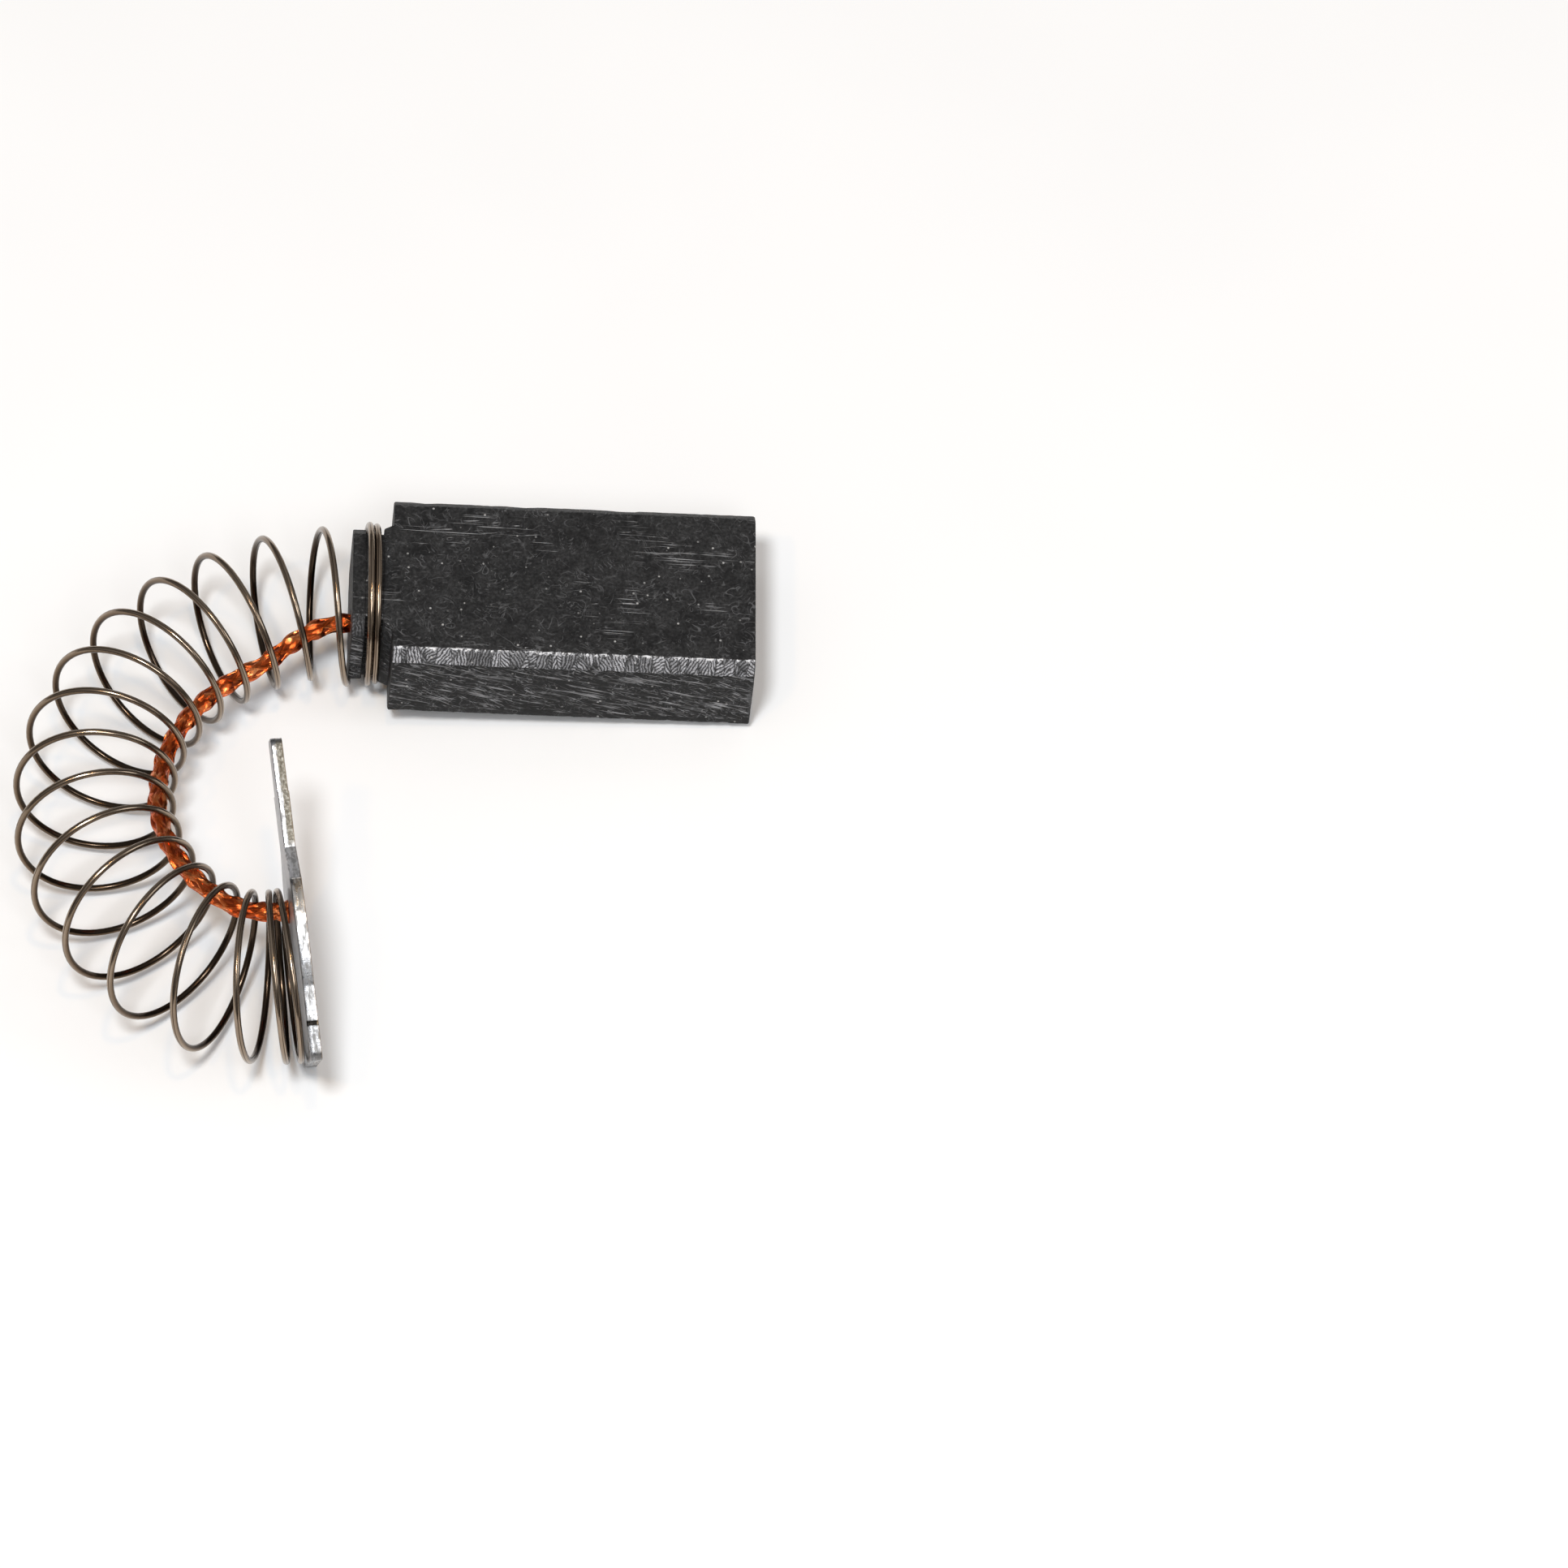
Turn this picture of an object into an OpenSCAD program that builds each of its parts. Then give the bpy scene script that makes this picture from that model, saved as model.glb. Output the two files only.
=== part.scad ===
// Carbon brush for a small commutator motor: a graphite block, a coil spring,
// a copper shunt braid inside the spring, and a stamped contact plate.
// The braid is shorter than the free spring, so the spring bows into a C.
//
// The brush lies as it comes to rest on a bench: on the lower front edge of
// the block, on the first coil of the spring and on the foot of the plate.
// Origin: centre of the contact face.  +Z is up, -X leads from the contact
// face towards the spring.

/* [Graphite block] */
// Width of the block
block_w = 10; // [9:0.1:12]
// Thickness of the block
block_t = 5.6; // [5:0.1:6.2]
// Length from the contact face to the shoulder
block_l = 18.7; // [10:0.1:30]
// Chamfer along the four long edges
block_chamfer = 0.6; // [0.2:0.05:1]
// Width of the boss where it leaves the shoulder
boss_root_w = 6.3; // [6:0.1:7.5]
// Width of the boss where it ends at the groove
boss_tip_w = 5.8; // [5.2:0.1:6]
// Length of the boss
boss_l = 0.5; // [0.3:0.05:1.5]
// Width of the neck that carries the seated turns
neck_w = 5.1; // [4.6:0.05:5.2]
// Width of the head that holds the seated turns
head_w = 6.6; // [6.2:0.05:6.8]
// Chamfer along the long edges of the head
head_chamfer = 0.8; // [0.7:0.05:1]
// Length of the head
head_l = 0.7; // [0.5:0.05:1]

/* [Shunt bore] */
// Diameter of the blind bore for the braid
bore_d = 1.6; // [1.4:0.05:1.8]
// Depth of the bore from the end of the head
bore_depth = 6; // [4:0.5:9]
// Sideways place of the bore, towards the inner side of the bend
bore_offset = 1.2; // [0.5:0.1:1.3]

/* [Spring] */
// Diameter of the spring wire
wire_d = 0.35; // [0.25:0.01:0.4]
// Number of turns
turns = 18; // [14:1:22]
// Number of turns that sit closed in the groove
seat_turns = 1.4; // [1:0.1:1.6]
// Turns over which the spring opens behind the groove
open_over = 0.4; // [0.4:0.1:1]
// Number of turns that pass over the head at the full seated radius
head_turns = 0.7; // [0.7:0.05:1]
// Number of turns over which the spring then draws in to its free radius
draw_in_turns = 0.5; // [0.4:0.1:1]
// Turns over which the spring closes again towards the plate
close_over = 4.1; // [1:0.1:5]
// Number of turns that lie closed against the plate
end_turns = 0.2; // [0:0.1:1]
// How much wider the pitch is at the plate end than at the block end
pitch_growth = 0.23; // [0:0.01:0.4]
// Radius of the wire's centreline at the block end
coil_r_start = 3.73; // [3.6:0.01:3.9]
// Radius of the wire's centreline at the plate end
coil_r_end = 4.37; // [4:0.01:4.5]
// Angle round the neck at which the wire begins
wire_start_angle = 202; // [195:1:225]

/* [Bend of the spring] */
// Straight run out of the groove
lead_in = 1.9; // [1:0.1:4]
// Radius of the wide part of the bend
bend_r = 12.4; // [11:0.1:16]
// Angle turned in the wide part
bend_angle = 141.4; // [120:0.1:150]
// Radius of the tight part of the bend, next to the plate
tight_r = 7.1; // [6.5:0.1:9]
// Angle turned in the tight part
tight_angle = 46.6; // [20:0.1:50]
// Straight run into the plate
lead_out = 0.3; // [0.3:0.1:1.5]
// Distance over which the axis levels off behind the head
level_over = 9; // [6:0.5:14]

/* [Shunt braid] */
// Diameter of the copper braid
braid_d = 1.05; // [1:0.05:1.3]
// Diameter of the braid's fused foot on the plate
foot_d = 1.3; // [1.2:0.05:2]
// Length of the fused foot
foot_l = 0.7; // [0.4:0.1:1.2]
// Run behind the head over which the braid swings to the inside of the turns
braid_swing = 6.5; // [4:0.5:10]
// Angle round the axis by which the braid has climbed when it meets the plate
braid_climb = 14; // [0:1:30]
// Distance along the spring at which the braid starts to climb
climb_from = 18; // [14:1:22]
// Run over which the braid climbs
climb_over = 10; // [6:1:14]

/* [Contact plate] */
// Thickness of the sheet
plate_t = 0.6; // [0.4:0.05:0.8]
// Overall length of the plate
plate_l = 16.65; // [15.5:0.05:18]
// Width of the narrow tip at its end
tip_w = 2.4; // [2:0.1:3]
// Width of the narrow tip at its root
tip_root_w = 2.8; // [2.5:0.1:3.5]
// Width of the tongue behind the tip
tongue_w = 4.4; // [3.8:0.1:5]
// Length of the tongue
tongue_l = 2.85; // [2:0.05:3.5]
// Length of the sloping shoulders
shoulder_l = 1.7; // [1:0.1:2.2]
// Width of the spring seat where the shoulders end
seat_w = 8.5; // [8:0.1:9]
// Distance from the axis of the spring to the shoulders
seat_front = 4.7; // [4.6:0.05:5.2]
// Length of the spring seat with its bowed sides
seat_l = 5.5; // [5:0.05:6]
// How far each side of the seat bows outwards
seat_bow = 0.4; // [0.2:0.05:0.6]
// Width of the foot where it leaves the seat
foot_root_w = 8.5; // [8:0.1:9]
// Width of the foot at its end
foot_end_w = 7.7; // [7:0.1:8]
// Distance from the seat to the nicks in the foot
nick_from = 1.8; // [1.5:0.05:2]
// Width of each nick along the foot
nick_l = 0.2; // [0.15:0.05:0.4]
// Depth of each nick
nick_depth = 0.25; // [0.1:0.05:0.4]
// Corner radius at the tip and the foot
corner_r = 0.5; // [0.3:0.05:0.8]
// Distance from the end of the foot to the axis of the spring
seat_axis = 4.6; // [4.6:0.05:5.3]
// Angle at which the tip points up from the level
plate_tilt = 30; // [5:1:35]

/* [Clearances] */
// Gap between neighbouring closed turns
turn_gap = 0.01; // [0.005:0.005:0.03]
// Gap between the spring and what it seats on
seat_gap = 0.02; // [0.01:0.01:0.05]
// Gap between the braid and what surrounds it
braid_gap = 0.08; // [0.05:0.01:0.2]
// Radial gap between the braid and the tamped plug
plug_gap = 0.01; // [0.005:0.005:0.02]
// Gap between the braid's foot and the plate
foot_gap = 0.01; // [0.005:0.005:0.02]

/* [Hidden] */

STEPS_PER_TURN = 20;    // rings of the spring per turn
RAMP_TURNS = 0.25;      // share of a turn in which the wire rises onto the head
WIRE_SIDES = 8;         // sides of the spring's section
BRAID_SIDES = 12;       // sides of the braid's section
BRAID_RINGS = 60;       // rings of the braid between the bore and the foot
ARC_STEPS = 10;         // points along each bowed side of the plate
CORNER_STEPS = 4;       // points round each corner of the plate

wire_r = wire_d / 2;
closed_pitch = wire_d + turn_gap;

// The groove holds the seated turns; the head keeps them in it
groove_l = seat_turns * closed_pitch + wire_d + 2 * seat_gap - turn_gap;
boss_end = block_l + boss_l;
head_start = boss_end + groove_l;
head_end = head_start + head_l;
neck_corner_r = norm([neck_w, block_t]) / 2;
head_corner_r = max(norm([head_w / 2, block_t / 2 - head_chamfer]),
                    norm([head_w / 2 - head_chamfer, block_t / 2]));

// The spring begins in the groove, against the boss
spring_start = boss_end + seat_gap + wire_r;
// The wire's straight steps cut inside its turns, so the seated turns are
// wound a little wider
step_cut = cos(180 / STEPS_PER_TURN);
seated_r = (neck_corner_r + seat_gap + wire_r) / step_cut;
crossing_r = (head_corner_r + seat_gap + wire_r) / step_cut;
clear_turn = seat_turns + head_turns;

// The block pitches until the turn on its head rests beside its front edge
rest_pitch = atan((crossing_r + wire_r - block_t / 2) / ((head_start + head_end) / 2));

// The centreline of the spring, from the groove to the plate
bend_len = bend_r * bend_angle * PI / 180;
tight_len = tight_r * tight_angle * PI / 180;
bend_to = lead_in + bend_len;
tight_to = bend_to + tight_len;
spring_len = tight_to + lead_out;
end_angle = bend_angle + tight_angle;
bend_centre = [-lead_in, -bend_r];
tight_centre = bend_centre + (bend_r - tight_r) * outward(bend_angle);

// The corner of the plate's foot reaches the bench, so it sets the height of
// that end
plate_drop = (seat_axis - corner_r) * sin(plate_tilt)
             + (foot_end_w / 2 - corner_r) * cos(plate_tilt) + corner_r;
start_height = block_t / 2 * cos(rest_pitch) + spring_start * sin(rest_pitch);
axis_rise = plate_drop - start_height;

// Distance along the centreline at which the braid leaves the bore
braid_from = head_end - spring_start;

// Winding: the pitch opens behind the groove and closes towards the plate
close_from = turns - end_turns - close_over;
wind_steps = turns * STEPS_PER_TURN;
opened_sum = total([for (i = [0:wind_steps - 1]) openness((i + 0.5) / STEPS_PER_TURN)]);
open_gain = (spring_len - closed_pitch * turns) / opened_sum;
travel = [for (i = 0, s = 0; i <= wind_steps; s = s + turn_step(i), i = i + 1) s];

function total(list) = list * [for (v = list) 1];
function smooth(x) = let (u = min(max(x, 0), 1)) u * u * (3 - 2 * u);
function mix(a, b, u) = a + (b - a) * u;

// Share of the open pitch that the turn number t has
function openness(t) =
    smooth((t - seat_turns) / open_over)
    * (1 - smooth((t - close_from) / close_over))
    * (1 + pitch_growth * (t / turns - 0.5));

// Distance along the centreline that step i of the winding adds
function turn_step(i) =
    closed_pitch / STEPS_PER_TURN + open_gain * openness((i + 0.5) / STEPS_PER_TURN);

// Radius of the wire's centreline at turn t: tight on the neck, over the
// corners of the head, then the free spring
function coil_r(t) = lookup(t, [
    [seat_turns - RAMP_TURNS, seated_r],
    [seat_turns, crossing_r],
    [clear_turn, crossing_r],
    [clear_turn + draw_in_turns, coil_r_start],
    [turns, coil_r_end]
]);

// Plan view of the bend: direction from the centre of the bend at angle a
function outward(a) = [-sin(a), cos(a)];
function turned(s) =
    s < lead_in ? 0
    : s < bend_to ? (s - lead_in) / bend_r * 180 / PI
    : s < tight_to ? bend_angle + (s - bend_to) / tight_r * 180 / PI
    : end_angle;
function plan(s) =
    s < lead_in ? [-s, 0]
    : s < bend_to ? bend_centre + bend_r * outward(turned(s))
    : tight_centre + tight_r * outward(turned(s))
        + max(s - tight_to, 0) * [-cos(end_angle), -sin(end_angle)];

// Height of the centreline: it leaves along the pitched block, levels off
// and climbs to the height of the plate
function height(s) =
    let (free = max(s - braid_from, 0))
    axis_rise * smooth(free / (spring_len - braid_from))
    + tan(rest_pitch) * s * pow(1 - min(free / level_over, 1), 2);

// Frame of the centreline in the lying position
neck_centre = [-spring_start * cos(rest_pitch), 0, spring_start * sin(rest_pitch)];
function centre(s) = neck_centre + [plan(s).x, plan(s).y, height(s)];
function unit(v) = v / norm(v);
function along(s) = unit(centre(s + 0.01) - centre(s - 0.01));
function outer_side(s) = let (a = turned(s)) [-sin(a), cos(a), 0];
function upper_side(s) = cross(outer_side(s), along(s));
function spoke(s, angle) = cos(angle) * outer_side(s) + sin(angle) * upper_side(s);

// Centre of the wire at step i of the winding
function wire_centre(i) =
    let (t = i / STEPS_PER_TURN, s = travel[i])
    centre(s) + coil_r(t) * spoke(s, wire_start_angle - 360 * t);

// A ring of the wire's section, square to the wire
function wire_ring(i) =
    let (
        p = wire_centre(i),
        ahead = unit(wire_centre(min(i + 1, wind_steps)) - wire_centre(max(i - 1, 0))),
        radial = spoke(travel[i], wire_start_angle - 360 * i / STEPS_PER_TURN),
        side = unit(cross(ahead, radial)),
        out = cross(side, ahead)
    )
    [for (k = [0:WIRE_SIDES - 1]) let (a = 360 * k / WIRE_SIDES)
        p + wire_r * (cos(a) * out + sin(a) * side)];

// The braid runs inside the turns, on the inner side of the bend, and climbs a
// little round the axis on its way to the plate
function inside_turns(s) =
    mix(coil_r_start, coil_r_end, s / spring_len) * step_cut
    - wire_r - braid_gap - braid_r_at(s);
function braid_off_axis(s) =
    mix(bore_offset, inside_turns(s), smooth((s - braid_from) / braid_swing));
function braid_climb_at(s) = braid_climb * smooth((s - climb_from) / climb_over);
function braid_centre(s) =
    centre(s) + braid_off_axis(s) * spoke(s, 180 - braid_climb_at(s));

// Straight length of the braid in the bore
braid_in_bore = bore_depth - 2 * braid_gap;
block_axis = [cos(rest_pitch), 0, -sin(rest_pitch)];
bore_mouth = -head_end * block_axis - [0, bore_offset, 0];

// The last ring of the braid lies on the plate
plate_at = spring_len + wire_r + seat_gap;
braid_to = plate_at - foot_gap;
function braid_s(i) = mix(braid_from, braid_to, (i - 1) / (BRAID_RINGS - 1));
function braid_point(i) =
    i == 0 ? bore_mouth + braid_in_bore * block_axis : braid_centre(braid_s(i));
function braid_r_at(s) = mix(braid_d, foot_d, smooth((s - braid_to + foot_l) / foot_l)) / 2;
function braid_r(i) = i == 0 ? braid_d / 2 : braid_r_at(braid_s(i));
function braid_ahead(i) =
    i <= 1 ? -block_axis
    : i == BRAID_RINGS ? along(spring_len)
    : unit(braid_point(i + 1) - braid_point(i - 1));
function braid_ring(i) =
    let (
        ahead = braid_ahead(i),
        out = unit(cross(ahead, [0, 0, 1])),
        up = cross(out, ahead)
    )
    [for (k = [0:BRAID_SIDES - 1]) let (a = 360 * k / BRAID_SIDES)
        braid_point(i) + braid_r(i) * (cos(a) * out + sin(a) * up)];

// A closed tube through rings that all have the same number of points
module tube(rings) {
    n = len(rings[0]);
    last = len(rings) - 1;
    polyhedron(
        points = [for (ring = rings) each ring],
        faces = concat(
            [[for (k = [0:n - 1]) k]],
            [[for (k = [n - 1:-1:0]) last * n + k]],
            [for (i = [0:last - 1], k = [0:n - 1]) let (j = (k + 1) % n)
                each [
                    [i * n + k, (i + 1) * n + k, (i + 1) * n + j],
                    [i * n + k, (i + 1) * n + j, i * n + j]
                ]]
        )
    );
}

// Moves a piece that is drawn along the block's own axis to the lying pose
module lying() {
    rotate([0, rest_pitch, 0]) children();
}

// A bar along -X with chamfered long edges, from one distance to another
module chamfered_bar(from, to, w, t, c) {
    translate([-to, 0, 0])
    rotate([90, 0, 90])
    linear_extrude(to - from)
    polygon([
        [w / 2 - c, t / 2], [w / 2, t / 2 - c],
        [w / 2, c - t / 2], [w / 2 - c, -t / 2],
        [c - w / 2, -t / 2], [-w / 2, c - t / 2],
        [-w / 2, t / 2 - c], [c - w / 2, t / 2]
    ]);
}

// Tapered boss and straight neck, cut from the sides over the full thickness
module boss_and_neck() {
    translate([0, 0, -block_t / 2])
    linear_extrude(block_t)
    polygon([
        [-block_l + 1, boss_root_w / 2], [-block_l, boss_root_w / 2],
        [-boss_end, boss_tip_w / 2], [-boss_end, neck_w / 2],
        [-head_start - head_l / 2, neck_w / 2], [-head_start - head_l / 2, -neck_w / 2],
        [-boss_end, -neck_w / 2], [-boss_end, -boss_tip_w / 2],
        [-block_l, -boss_root_w / 2], [-block_l + 1, -boss_root_w / 2]
    ]);
}

module carbon_block() {
    color("#3c3c3e")
    lying()
    difference() {
        union() {
            chamfered_bar(0, block_l, block_w, block_t, block_chamfer);
            boss_and_neck();
            chamfered_bar(head_start, head_end, head_w, block_t, head_chamfer);
        }
        translate([-head_end - 1, -bore_offset, 0])
        rotate([0, 90, 0])
        cylinder(d = bore_d, h = bore_depth + 1, $fn = 48);
    }
}

// Tamping compound that grips the braid in the bore
module tamped_plug() {
    color("#5a3a2c")
    lying()
    translate([-head_end, -bore_offset, 0])
    rotate([0, 90, 0])
    difference() {
        cylinder(d = bore_d, h = bore_depth, $fn = 48);
        translate([0, 0, -1])
        cylinder(d = braid_d + 2 * plug_gap, h = braid_in_bore + braid_gap + 1, $fn = 48);
    }
}

module shunt_braid() {
    color("#c8642e")
    tube([for (i = [0:BRAID_RINGS]) braid_ring(i)]);
}

module spring() {
    color("#8a7a6a")
    tube([for (i = [0:wind_steps]) wire_ring(i)]);
}

// Outline of the plate: x runs from the spring axis towards the tip
plate_tip_x = plate_l - seat_axis;
shoulder_x = seat_front + shoulder_l;
tip_root_x = shoulder_x + tongue_l;
seat_to_x = seat_front - seat_l;
nick_x = seat_to_x - nick_from;

function corner(x, y, turn) =
    [for (k = [0:CORNER_STEPS]) let (a = turn + 90 * k / CORNER_STEPS)
        [x + corner_r * cos(a), y + corner_r * sin(a)]];
function foot_half_w(x) =
    mix(foot_root_w, foot_end_w, (seat_to_x - x) / (seat_to_x + seat_axis)) / 2;

plate_side = concat(
    corner(plate_tip_x - corner_r, tip_w / 2 - corner_r, 0),
    [[tip_root_x, tip_root_w / 2], [tip_root_x, tongue_w / 2], [shoulder_x, tongue_w / 2]],
    [for (k = [0:ARC_STEPS]) let (u = k / ARC_STEPS)
        [mix(seat_front, seat_to_x, u), seat_w / 2 + seat_bow * 4 * u * (1 - u)]],
    [[seat_to_x, foot_half_w(seat_to_x)]],
    [[nick_x, foot_half_w(nick_x)], [nick_x, foot_half_w(nick_x) - nick_depth],
     [nick_x - nick_l, foot_half_w(nick_x) - nick_depth],
     [nick_x - nick_l, foot_half_w(nick_x - nick_l)]],
    corner(corner_r - seat_axis, foot_end_w / 2 - corner_r, 90)
);
mirrored_side = [for (k = [len(plate_side) - 1:-1:0]) [plate_side[k].x, -plate_side[k].y]];

module contact_plate() {
    face = centre(spring_len) + (plate_at - spring_len) * along(spring_len);
    climb = asin(along(spring_len).z);
    color("#b4b6ba")
    translate(face)
    rotate([0, 0, end_angle + 180])
    rotate([0, -climb, 0])
    rotate([90, 0, 90])
    rotate([0, 0, plate_tilt])
    linear_extrude(plate_t)
    polygon(concat(plate_side, mirrored_side));
}

carbon_block();
tamped_plug();
shunt_braid();
spring();
contact_plate();
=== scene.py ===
import math

import bpy
import numpy as np
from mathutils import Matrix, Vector


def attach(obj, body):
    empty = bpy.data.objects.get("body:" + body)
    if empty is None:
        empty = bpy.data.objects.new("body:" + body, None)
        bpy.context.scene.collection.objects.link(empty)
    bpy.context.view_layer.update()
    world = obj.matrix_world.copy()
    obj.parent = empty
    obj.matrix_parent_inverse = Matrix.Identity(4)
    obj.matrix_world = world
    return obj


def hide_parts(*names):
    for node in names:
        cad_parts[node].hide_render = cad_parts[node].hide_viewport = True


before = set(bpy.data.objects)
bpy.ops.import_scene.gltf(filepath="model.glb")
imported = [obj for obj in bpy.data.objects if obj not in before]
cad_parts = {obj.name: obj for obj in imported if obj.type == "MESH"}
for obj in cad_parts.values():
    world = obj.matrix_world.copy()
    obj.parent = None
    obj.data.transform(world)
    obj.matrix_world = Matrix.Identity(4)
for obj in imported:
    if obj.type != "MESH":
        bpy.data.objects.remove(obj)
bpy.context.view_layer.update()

MM = 0.001
RAD = math.pi / 180

# ---------------------------------------------------------------- sizes (mm)
# The same named values as in the part's source.
block_w, block_t, block_l, block_chamfer = 10.0, 5.6, 18.7, 0.6
boss_root_w, boss_tip_w, boss_l = 6.3, 5.8, 0.5
neck_w, head_w, head_chamfer, head_l = 5.1, 6.6, 0.8, 0.7
bore_d, bore_offset = 1.6, 1.2
wire_d, turns, seat_turns, open_over = 0.35, 18, 1.4, 0.4
head_turns, draw_in_turns, close_over, end_turns = 0.7, 0.5, 4.1, 0.2
pitch_growth, coil_r_start, coil_r_end, wire_start = 0.23, 3.73, 4.37, 202
lead_in, bend_r, bend_angle, tight_r, tight_angle = 1.9, 12.4, 141.4, 7.1, 46.6
lead_out, level_over = 0.3, 9
braid_d, foot_d, foot_l, braid_swing = 1.05, 1.3, 0.7, 6.5
braid_climb, climb_from, climb_over = 14, 18, 10
plate_t, plate_l, tip_w, tip_root_w = 0.6, 16.65, 2.4, 2.8
tongue_w, tongue_l, shoulder_l, seat_w = 4.4, 2.85, 1.7, 8.5
seat_front, seat_l, seat_bow = 4.7, 5.5, 0.4
foot_root_w, foot_end_w, nick_from, nick_l, nick_depth = 8.5, 7.7, 1.8, 0.2, 0.25
corner_r, seat_axis, plate_tilt = 0.5, 4.6, 30
turn_gap, seat_gap, braid_gap, foot_gap = 0.01, 0.02, 0.08, 0.01
steps_per_turn, ramp_turns = 20, 0.25
# only here: air under the lowest point, and the braid that shows inside the bore
floor_gap, bore_view, mouth_gap, mouth_points = 0.014, 2.5, 0.15, 16

wire_r = wire_d / 2
closed_pitch = wire_d + turn_gap
groove_l = seat_turns * closed_pitch + wire_d + 2 * seat_gap - turn_gap
boss_end = block_l + boss_l
head_start = boss_end + groove_l
head_end = head_start + head_l
neck_corner_r = math.hypot(neck_w, block_t) / 2
head_corner_r = max(
    math.hypot(head_w / 2, block_t / 2 - head_chamfer),
    math.hypot(head_w / 2 - head_chamfer, block_t / 2),
)
spring_start = boss_end + seat_gap + wire_r
step_cut = math.cos(180 / steps_per_turn * RAD)
seated_r = (neck_corner_r + seat_gap + wire_r) / step_cut
crossing_r = (head_corner_r + seat_gap + wire_r) / step_cut
clear_turn = seat_turns + head_turns
rest_pitch = math.atan((crossing_r + wire_r - block_t / 2) / ((head_start + head_end) / 2))
bend_to = lead_in + bend_r * bend_angle * RAD
tight_to = bend_to + tight_r * tight_angle * RAD
spring_len = tight_to + lead_out
end_angle = bend_angle + tight_angle
plate_drop = (
    (seat_axis - corner_r) * math.sin(plate_tilt * RAD)
    + (foot_end_w / 2 - corner_r) * math.cos(plate_tilt * RAD)
    + corner_r
)
start_height = block_t / 2 * math.cos(rest_pitch) + spring_start * math.sin(rest_pitch)
axis_rise = plate_drop - start_height
braid_from = head_end - spring_start
close_from = turns - end_turns - close_over
plate_at = spring_len + wire_r + seat_gap
floor_z = -block_t / 2 * math.cos(rest_pitch) - floor_gap


# ------------------------------------------------------- path of the spring
def smooth(x):
    u = np.clip(x, 0, 1)
    return u * u * (3 - 2 * u)


def outward(a):
    """From the centre of a bend, where the axis has turned by a."""
    return np.stack([-np.sin(a), np.cos(a)], -1)


def turned(s):
    """Angle turned by the axis after a distance s, in radians."""
    return np.where(
        s < lead_in,
        0.0,
        np.where(
            s < bend_to,
            (s - lead_in) / bend_r,
            np.where(s < tight_to, bend_angle * RAD + (s - bend_to) / tight_r, end_angle * RAD),
        ),
    )


def plan(s):
    """The spring's axis seen from above."""
    s = np.asarray(s, float)
    a = turned(s)
    c1 = np.array([-lead_in, -bend_r])
    c2 = c1 + (bend_r - tight_r) * outward(bend_angle * RAD)
    lead = np.stack([-s, 0 * s], -1)
    last = np.array([-math.cos(end_angle * RAD), -math.sin(end_angle * RAD)])
    tight = c2 + tight_r * outward(a) + np.maximum(s - tight_to, 0)[..., None] * last
    return np.where(
        (s < lead_in)[..., None],
        lead,
        np.where((s < bend_to)[..., None], c1 + bend_r * outward(a), tight),
    )


def height(s):
    """Rise of the axis from the block to the plate."""
    free = np.maximum(s - braid_from, 0)
    return (
        axis_rise * smooth(free / (spring_len - braid_from))
        + math.tan(rest_pitch) * s * (1 - np.minimum(free / level_over, 1)) ** 2
    )


neck_centre = np.array(
    [-spring_start * math.cos(rest_pitch), 0, spring_start * math.sin(rest_pitch)]
)


def centre(s):
    s = np.asarray(s, float)
    return neck_centre + np.concatenate([plan(s), height(s)[..., None]], -1)


def unit(v):
    return v / np.linalg.norm(v, axis=-1, keepdims=True)


def along(s):
    s, step = np.asarray(s, float), 0.01
    return unit(centre(s + step) - centre(s - step))


def outer_side(s):
    a = turned(np.asarray(s, float))
    return np.stack([-np.sin(a), np.cos(a), 0 * a], -1)


def upper_side(s):
    return np.cross(outer_side(s), along(s))


def openness(t):
    """How far the turns stand apart, t turns along the wire."""
    return (
        smooth((t - seat_turns) / open_over)
        * (1 - smooth((t - close_from) / close_over))
        * (1 + pitch_growth * (t / turns - 0.5))
    )


def coil_r(t):
    """Radius of the turns: seated, over the head, then growing to the plate."""
    return np.interp(
        t,
        [seat_turns - ramp_turns, seat_turns, clear_turn, clear_turn + draw_in_turns, turns],
        [seated_r, crossing_r, crossing_r, coil_r_start, coil_r_end],
    )


def wire_path(per_turn):
    """Centre of the wire and its radial direction, step by step."""
    n = turns * per_turn
    mid = openness((np.arange(n) + 0.5) / per_turn)
    gain = (spring_len - closed_pitch * turns) / mid.sum()
    s = np.concatenate([[0], np.cumsum(closed_pitch / per_turn + gain * mid)])
    t = np.arange(n + 1) / per_turn
    a = (wire_start - 360 * t) * RAD
    spoke = np.cos(a)[:, None] * outer_side(s) + np.sin(a)[:, None] * upper_side(s)
    return centre(s) + coil_r(t)[:, None] * spoke, spoke


def braid_half(s):
    top = plate_at - foot_gap
    u = smooth((s - top + foot_l) / foot_l)
    return (braid_d + (foot_d - braid_d) * u) / 2


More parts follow.
